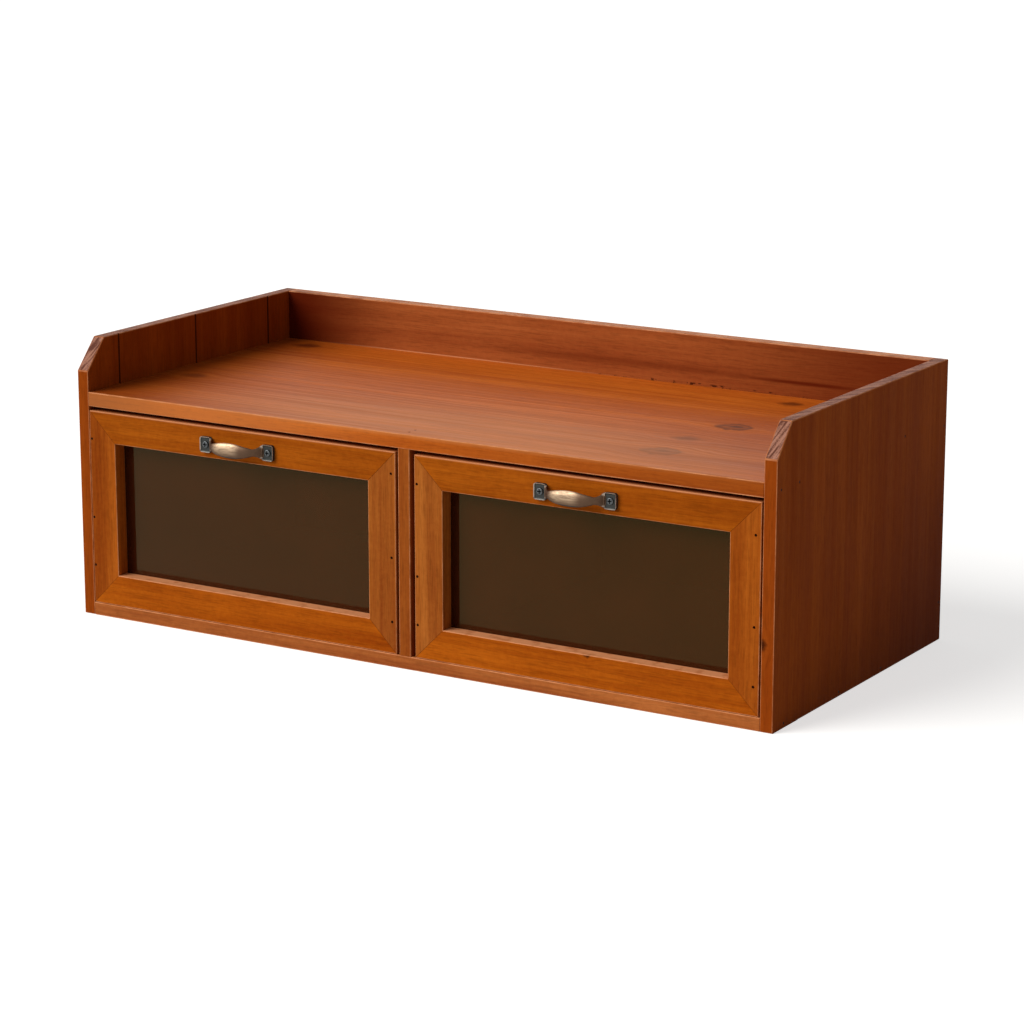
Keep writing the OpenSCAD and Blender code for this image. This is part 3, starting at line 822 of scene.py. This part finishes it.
def grip_rod(name, sections):
    """Runs a ring of points through the sections, each a centre, a half thickness and a half height."""
    centre, depth, half = sections[0]
    bpy.ops.object.select_all(action="DESELECT")
    bpy.ops.mesh.primitive_circle_add(
        vertices=24, radius=1, fill_type="NGON", location=centre, rotation=(0, math.radians(90), 0)
    )
    grip = bpy.context.active_object
    grip.name = name
    settle(grip)
    bpy.ops.object.mode_set(mode="EDIT")
    bpy.ops.mesh.select_all(action="SELECT")
    bpy.ops.transform.resize(value=(1, depth, half), center_override=centre)
    for (was, was_deep, was_half), (now, now_deep, now_half) in zip(sections, sections[1:]):
        bpy.ops.mesh.extrude_region_move(TRANSFORM_OT_translate={"value": now - was})
        bpy.ops.transform.resize(value=(1, now_deep / was_deep, now_half / was_half), center_override=now)
    bpy.ops.mesh.select_all(action="SELECT")
    bpy.ops.mesh.normals_make_consistent(inside=False)
    bpy.ops.object.mode_set(mode="OBJECT")
    return grip


def end_plate(spot, plate_high, sizes):
    """An end plate with round corners and a rim round its sunk field, its back centred on the spot."""
    bpy.ops.object.select_all(action="DESELECT")
    bpy.ops.mesh.primitive_cube_add(
        size=1,
        location=spot - Vector((0, sizes.plate_thick / 2, 0)),
        scale=(sizes.plate_width, sizes.plate_thick, plate_high),
    )
    plate = bpy.context.active_object
    settle(plate)
    bpy.ops.object.mode_set(mode="EDIT")
    pick(plate, "EDGE", lambda e: abs(e.verts[0].co.y - e.verts[1].co.y) > 1 * MM)
    bpy.ops.mesh.bevel(offset=sizes.plate_corner, segments=4, affect="EDGES")
    pick(plate, "FACE", lambda f: f.normal.y < -0.9)
    bpy.ops.mesh.inset(thickness=sizes.rim, depth=-sizes.sunk)
    # The sharp edges at the front, and not those of the back
    pick(
        plate,
        "EDGE",
        lambda e: e.calc_face_angle() > math.radians(50)
        and all(v.co.y < spot.y - 0.5 * MM for v in e.verts),
    )
    bpy.ops.mesh.bevel(offset=RIM_ROUND, segments=2, affect="EDGES")
    bpy.ops.object.mode_set(mode="OBJECT")
    return plate


def screw_drill(spot, sizes):
    """A drill as wide as a screw, right through the plate on the spot."""
    bpy.ops.object.select_all(action="DESELECT")
    bpy.ops.mesh.primitive_cylinder_add(
        vertices=24,
        radius=sizes.screw_hole,
        depth=20 * MM,
        location=spot,
        rotation=(math.radians(90), 0, 0),
    )
    drill = bpy.context.active_object
    settle(drill)
    return drill


def bow_pull(side, sizes):
    """A cast bow pull: a leaf shaped grip run out of a ring of points, and two rimmed end plates."""
    node = f"{side}_handle"
    low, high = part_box(node)
    out = high.y - low.y
    middle = Vector(((low.x + high.x) / 2, high.y, (low.z + high.z) / 2))
    plate_high = high.z - low.z
    half_span = (high.x - low.x) / 2 - sizes.plate_width
    sections = []
    for step in range(GRIP_STEPS + 1):
        # Sections lie closer together towards the plates, and the last ones lap into them
        across = (half_span + GRIP_LAP) * math.sin(math.pi * (step / GRIP_STEPS - 0.5))
        face, thick, half = grip_section(across, out, plate_high, half_span, sizes)
        centre = Vector((middle.x + across, high.y - face + thick / 2, middle.z))
        sections.append((centre, thick / 2, half))
    grip = grip_rod(f"{side}_bow_pull", sections)
    tools = []
    for way in (-1, 1):
        spot = Vector((middle.x + way * (half_span + sizes.plate_width / 2), high.y, middle.z))
        tools.append((end_plate(spot, plate_high, sizes), "UNION"))
        tools.append((screw_drill(spot, sizes), "DIFFERENCE"))
    for tool, operation in tools:
        take_up(grip)
        cut = grip.modifiers.new("join", "BOOLEAN")
        cut.operation = operation
        cut.solver = "EXACT"
        cut.object = tool
        bpy.ops.object.modifier_apply(modifier=cut.name)
        bpy.data.objects.remove(tool)
    take_up(grip)
    bpy.ops.object.shade_smooth_by_angle(angle=math.radians(38))
    bronze = antique_bronze(f"Antique bronze {side}", middle, out, half_span + sizes.rim)
    grip.data.materials.clear()
    grip.data.materials.append(bronze)
    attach(grip, f"{side}_drawer")
    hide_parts(node)


class CABINET_OT_pulls(bpy.types.Operator):
    """Cast bow pulls"""

    bl_idname = "cabinet.pulls"
    bl_label = "Bow Pulls"

    def execute(self, context):
        for side in SIDES:
            bow_pull(side, context.scene.cabinet_pull)
        return {"FINISHED"}


def dome_screws(side, screw_steel, dome):
    """The screws of a pull, their heads rounded into domes."""
    node = f"{side}_handle_screws"
    low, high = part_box(node)
    screws = copy_node(node, f"{side}_dome_screws", [screw_steel])
    radius = (high.z - low.z) / 2
    centres = [Vector((x, 0, (low.z + high.z) / 2)) for x in (low.x + radius, high.x - radius)]

    def is_front_rim(edge):
        """True for the front rim of a head."""
        flat = [Vector((v.co.x, 0, v.co.z)) for v in edge.verts]
        near = any(all(abs((p - c).length - radius) < 0.05 * MM for p in flat) for c in centres)
        return near and all(v.co.y < low.y + PLANE_SLACK for v in edge.verts)

    pick(screws, "EDGE", is_front_rim)
    bpy.ops.mesh.bevel(offset=dome, segments=4, affect="EDGES")
    bpy.ops.object.mode_set(mode="OBJECT")
    bpy.ops.object.shade_smooth_by_angle(angle=math.radians(30))
    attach(screws, f"{side}_drawer")
    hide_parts(node)


class CABINET_OT_fixings(bpy.types.Operator):
    """Screws of the pulls, nails and glazing pins"""

    bl_idname = "cabinet.fixings"
    bl_label = "Screws, Nails and Pins"

    def execute(self, context):
        look = context.scene.cabinet_finish
        nail_steel = wire_steel("Stained nail steel", look.nail, 0.55)
        pin_steel = wire_steel("Bright pin wire", look.wire, 0.35)
        # The floor of the screws' slots lies 0.65 mm behind the front of their heads
        slot_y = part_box("left_handle_screws")[0].y + 0.65 * MM
        screw_steel = wire_steel("Blackened screw steel", look.steel, 0.4, slot_y)
        for side in SIDES:
            dome_screws(side, screw_steel, context.scene.cabinet_edges.screw_dome)
        for name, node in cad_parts.items():
            if name.endswith(("_nails", "_pins")):
                for held in node.material_slots:
                    held.material = pin_steel if name.endswith("_pins") else nail_steel
        return {"FINISHED"}


def shown(tree):
    """1 where the camera sees, straight or by way of gloss or glass, and 0 where the object is lit."""
    seen = add(tree, "ShaderNodeLightPath").outputs
    direct = [seen["Is Camera Ray"], seen["Is Glossy Ray"]]
    direct = add(tree, "ShaderNodeMath", direct, operation="MAXIMUM")
    return add(tree, "ShaderNodeMath", [direct, seen["Is Transmission Ray"]], operation="MAXIMUM")


def lay_floor(studio):
    """Matt emulsion on board: an even pale grey that shows only the object's shadow."""
    bpy.ops.object.select_all(action="DESELECT")
    bpy.ops.mesh.primitive_plane_add(size=60, location=(0, 0, -0.05 * MM))
    floor = bpy.context.active_object
    floor.name = "floor"
    material, tree, shader = new_material("Matt painted floor")
    glow = add(tree, "ShaderNodeMath", [shown(tree), studio.floor_lift], operation="MULTIPLY")
    paint(
        tree,
        shader,
        {
            "Base Color": tuple(studio.floor_tone),
            "Roughness": 0.9,
            "Specular IOR Level": 0.0,
            "Emission Color": (1.0, 1.0, 1.0),
            "Emission Strength": glow,
        },
    )
    floor.data.materials.append(material)


def surround(studio):
    """A soft light all round that looks white where the camera sees it."""
    world = bpy.data.worlds.new("Pale surround")
    world.use_nodes = True
    tree = world.node_tree
    tree.nodes.clear()
    strength = add(tree, "ShaderNodeMapRange", [shown(tree), 0, 1, studio.ambient, 1])
    light = add(tree, "ShaderNodeBackground", [(1, 1, 1), strength])
    add(tree, "ShaderNodeOutputWorld", [light])
    bpy.context.scene.world = world


def hang_lamp(studio):
    """One wide soft lamp, up at the front left."""
    toward = Vector((-0.8, -0.95, 0.88)).normalized()
    bpy.ops.object.light_add(type="SUN", location=toward * 3)
    key = bpy.context.active_object
    key.name = "key_lamp"
    key.rotation_mode = "QUATERNION"
    key.rotation_quaternion = toward.to_track_quat("Z", "Y")
    key.data.energy = studio.key * math.pi
    key.data.angle = studio.lamp_spread


def set_camera(studio):
    """The camera at the photograph's angle."""
    level_reach = math.cos(studio.elevation)
    across = math.sin(studio.azimuth) * level_reach
    ahead = -math.cos(studio.azimuth) * level_reach
    back = Vector((across, ahead, math.sin(studio.elevation)))
    aim = Vector((studio.aim_across, 0, studio.aim_height))
    bpy.ops.object.camera_add(location=aim + back * studio.distance)
    camera = bpy.context.active_object
    camera.rotation_mode = "QUATERNION"
    camera.rotation_quaternion = back.to_track_quat("Z", "Y")
    camera.data.lens = studio.lens
    camera.data.sensor_width = 36
    camera.data.clip_start = 0.05
    camera.data.clip_end = 100
    bpy.context.scene.camera = camera


class CABINET_OT_studio(bpy.types.Operator):
    """Pale floor, soft lamp, surround and camera"""

    bl_idname = "cabinet.studio"
    bl_label = "Studio"

    def execute(self, context):
        studio = context.scene.cabinet_studio
        lay_floor(studio)
        surround(studio)
        hang_lamp(studio)
        set_camera(studio)
        context.scene.view_settings.view_transform = "Standard"
        return {"FINISHED"}


STEPS = (
    CABINET_OT_side_panels,
    CABINET_OT_carcass_boards,
    CABINET_OT_drawer_fronts,
    CABINET_OT_drawer_boxes,
    CABINET_OT_panes,
    CABINET_OT_pulls,
    CABINET_OT_fixings,
    CABINET_OT_studio,
)


class CABINET_PT_sidebar(bpy.types.Panel):
    """The cabinet's pieces, sizes and colours"""

    bl_label = "Glazed Drawer Cabinet"
    bl_idname = "CABINET_PT_sidebar"
    bl_space_type = "VIEW_3D"
    bl_region_type = "UI"
    bl_category = "Cabinet"

    def draw(self, context):
        for step in STEPS:
            self.layout.operator(step.bl_idname)
        for name in GROUPS:
            group = getattr(context.scene, name)
            box = self.layout.box()
            for key in group.bl_rna.properties.keys():
                if key not in {"rna_type", "name"}:
                    box.prop(group, key)


GROUPS = {
    "cabinet_edges": CabinetEdges,
    "cabinet_pull": CabinetPull,
    "cabinet_finish": CabinetFinish,
    "cabinet_studio": CabinetStudio,
}
CLASSES = (*GROUPS.values(), *STEPS, CABINET_PT_sidebar)


def register():
    """Registers the classes and gives the scene its sizes and colours."""
    for kind in CLASSES:
        bpy.utils.register_class(kind)
    for name, group in GROUPS.items():
        setattr(bpy.types.Scene, name, PointerProperty(type=group))


def unregister():
    """Takes back what register gave."""
    for name in GROUPS:
        delattr(bpy.types.Scene, name)
    for kind in reversed(CLASSES):
        bpy.utils.unregister_class(kind)


def main():
    """Builds the cabinet's looks and the studio."""
    register()
    for step in STEPS:
        family, action = step.bl_idname.split(".")
        getattr(getattr(bpy.ops, family), action)()


if __name__ == "__main__":
    main()
